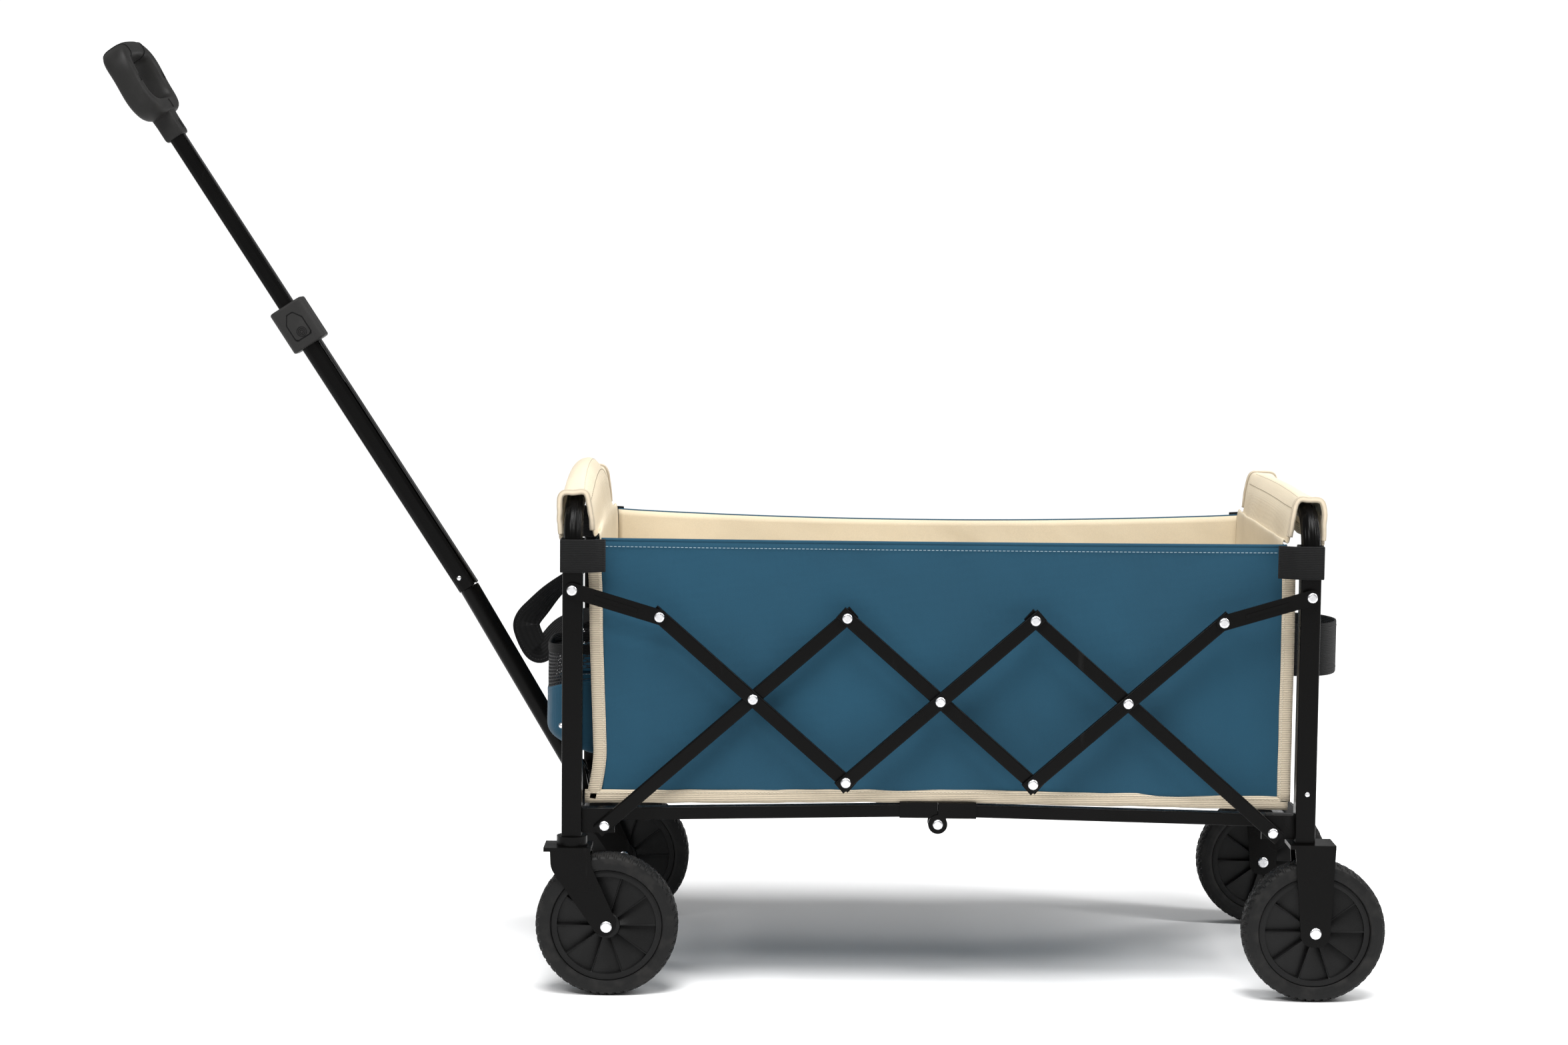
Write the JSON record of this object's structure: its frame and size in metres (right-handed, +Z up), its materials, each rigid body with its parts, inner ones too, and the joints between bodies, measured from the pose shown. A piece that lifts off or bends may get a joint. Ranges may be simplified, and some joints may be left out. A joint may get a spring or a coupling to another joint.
{
  "type": "folding wagon",
  "caption": "Folding utility wagon with a fabric bin on a scissor-sided steel frame, front casters and a telescoping pull handle.",
  "frame": {"origin": "on the ground below the centre hinge, midway between the wheels' tracks", "axes": "+X to the rear, away from the handle; -Y the near side; +Z up"},
  "size_m": [1.6305, 0.5134, 1.1873],
  "materials": {
    "black_steel": "satin powder coat",
    "zinc_steel": "bright zinc plate",
    "tyre": "matte",
    "wheel_plastic": "matte",
    "black_plastic": "matte",
    "teal_fabric": "woven polyester",
    "beige_fabric": "woven polyester",
    "floor_fabric": "woven polyester over board",
    "black_webbing": "ribbed webbing"
  },
  "bodies": {
    "front_frame": {"front_posts": "black_steel", "front_bow": "black_steel", "front_cross_tube": "black_steel", "front_rivets": "zinc_steel", "front_panel": "beige_fabric", "front_pockets": "teal_fabric", "front_strap": "black_webbing", "front_bands": "black_webbing", "handle_bracket": "black_steel", "handle_pivot_bolt": "zinc_steel", "side_panel_near": "teal_fabric", "side_panel_far": "teal_fabric", "floor_panel": "floor_fabric"},
    "rear_frame": {"rear_posts": "black_steel", "rear_bow": "black_steel", "rear_cross_tube": "black_steel", "rear_rivets": "zinc_steel", "rear_panel": "beige_fabric", "rear_grab_loop": "black_webbing", "rear_bands": "black_webbing", "rear_forks": "black_steel", "rear_axles": "zinc_steel"},
    "rail_front": {"rail_front": "black_steel", "hinge_sleeves_front": "black_steel", "hinge_bolts": "zinc_steel"},
    "rail_rear": {"rail_rear": "black_steel", "hinge_sleeves_rear": "black_steel"},
    "bar_front_long": {"bar_front_long": "black_steel", "rivets_front_long": "zinc_steel"},
    "bar_front_short": {"bar_front_short": "black_steel"},
    "bar_middle_down": {"bar_middle_down": "black_steel"},
    "bar_middle_up": {"bar_middle_up": "black_steel", "rivets_middle_up": "zinc_steel"},
    "bar_rear_long": {"bar_rear_long": "black_steel", "rivets_rear_long": "zinc_steel"},
    "bar_rear_short": {"bar_rear_short": "black_steel", "rivets_rear_short": "zinc_steel"},
    "link_front": {"link_front": "black_steel", "rivets_link_front": "zinc_steel"},
    "link_rear": {"link_rear": "black_steel", "rivets_link_rear": "zinc_steel"},
    "handle": {"handle_lower_tube": "black_steel", "handle_middle_tube": "black_steel", "handle_collar": "black_plastic"},
    "handle_upper": {"handle_upper_tube": "black_steel", "grip": "black_plastic"},
    "release_button": {"release_button": "black_plastic"},
    "caster_near": {"caster_fork_near": "black_steel", "caster_axle_near": "zinc_steel"},
    "wheel_front_near": {"tyre_front_near": "tyre", "hub_front_near": "wheel_plastic"},
    "wheel_rear_near": {"tyre_rear_near": "tyre", "hub_rear_near": "wheel_plastic"},
    "caster_far": {"caster_fork_far": "black_steel", "caster_axle_far": "zinc_steel"},
    "wheel_front_far": {"tyre_front_far": "tyre", "hub_front_far": "wheel_plastic"},
    "wheel_rear_far": {"tyre_rear_far": "tyre", "hub_rear_far": "wheel_plastic"}
  },
  "joints": [
    {"name": "fold", "type": "hinge", "parent": "front_frame", "child": "rail_front", "pos_m": [-0.436, 0, 0.224], "axis": [0, -1, 0], "range_deg": [0, 79], "deforming": ["side_panel_near", "side_panel_far", "floor_panel"]},
    {"name": "centre_hinge", "type": "hinge", "parent": "rail_front", "child": "rail_rear", "pos_m": [0, 0, 0.216], "axis": [0, -1, 0], "range_deg": [-159, 1]},
    {"name": "rear_rail_pivot", "type": "hinge", "parent": "rail_rear", "child": "rear_frame", "pos_m": [0.436, 0, 0.224], "axis": [0, -1, 0], "range_deg": [-1, 80]},
    {"name": "scissor_low_front", "type": "hinge", "parent": "front_frame", "child": "bar_front_long", "pos_m": [-0.41648, 0, 0.2128], "axis": [0, -1, 0], "range_deg": [-1, 42.24]},
    {"name": "scissor_cross_front", "type": "hinge", "parent": "bar_front_long", "child": "bar_front_short", "pos_m": [-0.23256, 0, 0.37466], "axis": [0, -1, 0], "range_deg": [-83.48, 1]},
    {"name": "scissor_top_front", "type": "hinge", "parent": "bar_front_long", "child": "bar_middle_down", "pos_m": [-0.11628, 0, 0.477], "axis": [0, -1, 0], "range_deg": [-83.48, 1]},
    {"name": "scissor_cross_middle", "type": "hinge", "parent": "bar_middle_down", "child": "bar_middle_up", "pos_m": [0, 0, 0.37466], "axis": [0, -1, 0], "range_deg": [-1, 83.48]},
    {"name": "scissor_top_rear", "type": "hinge", "parent": "bar_middle_up", "child": "bar_rear_long", "pos_m": [0.11628, 0, 0.477], "axis": [0, -1, 0], "range_deg": [-83.48, 1]},
    {"name": "scissor_bottom_rear", "type": "hinge", "parent": "bar_middle_down", "child": "bar_rear_short", "pos_m": [0.11628, 0, 0.27233], "axis": [0, -1, 0], "range_deg": [-1, 83.48]},
    {"name": "link_front_pivot", "type": "hinge", "parent": "front_frame", "child": "link_front", "pos_m": [-0.457, 0, 0.5092], "axis": [0, -1, 0], "range_deg": [-1, 80.08]},
    {"name": "link_rear_pivot", "type": "hinge", "parent": "rear_frame", "child": "link_rear", "pos_m": [0.457, 0, 0.5092], "axis": [0, -1, 0], "range_deg": [-80.08, 1]},
    {"name": "caster_swivel_near", "type": "hinge", "parent": "front_frame", "child": "caster_near", "pos_m": [-0.457, -0.229, 0.19], "axis": [0, 0, 1], "continuous": true},
    {"name": "wheel_front_near_spin", "type": "hinge", "parent": "caster_near", "child": "wheel_front_near", "pos_m": [-0.4126, -0.229, 0.089], "axis": [0, 1, 0], "continuous": true},
    {"name": "wheel_rear_near_spin", "type": "hinge", "parent": "rear_frame", "child": "wheel_rear_near", "pos_m": [0.4706, -0.229, 0.089], "axis": [0, 1, 0], "continuous": true},
    {"name": "caster_swivel_far", "type": "hinge", "parent": "front_frame", "child": "caster_far", "pos_m": [-0.457, 0.229, 0.19], "axis": [0, 0, 1], "continuous": true},
    {"name": "wheel_front_far_spin", "type": "hinge", "parent": "caster_far", "child": "wheel_front_far", "pos_m": [-0.4126, 0.229, 0.089], "axis": [0, 1, 0], "continuous": true},
    {"name": "wheel_rear_far_spin", "type": "hinge", "parent": "rear_frame", "child": "wheel_rear_far", "pos_m": [0.4706, 0.229, 0.089], "axis": [0, 1, 0], "continuous": true},
    {"name": "handle_tilt", "type": "hinge", "parent": "front_frame", "child": "handle", "pos_m": [-0.4664, 0, 0.245], "axis": [0, 1, 0], "range_deg": [-57.5, 25.5]},
    {"name": "handle_slide", "type": "slide", "parent": "handle", "child": "handle_upper", "axis": [-0.5446, 0, 0.8387], "range_m": [-0.25, 0]},
    {"name": "release_press", "type": "slide", "parent": "handle", "child": "release_button", "axis": [0, 1, 0], "range_m": [0, 0.0012], "stiffness_N_per_m": 600}
  ],
  "couplings": [
    {"joint": "centre_hinge", "follows": "fold", "ratio": -2},
    {"joint": "rear_rail_pivot", "follows": "fold", "ratio": 1},
    {"joint": "scissor_low_front", "follows": "fold", "ratio": 0.52206},
    {"joint": "scissor_cross_front", "follows": "fold", "ratio": -1.0441},
    {"joint": "scissor_top_front", "follows": "fold", "ratio": -1.0441},
    {"joint": "scissor_cross_middle", "follows": "fold", "ratio": 1.0441},
    {"joint": "scissor_top_rear", "follows": "fold", "ratio": -1.0441},
    {"joint": "scissor_bottom_rear", "follows": "fold", "ratio": 1.0441},
    {"joint": "link_front_pivot", "follows": "fold", "ratio": 1.0011},
    {"joint": "link_rear_pivot", "follows": "fold", "ratio": -1.0011}
  ]
}
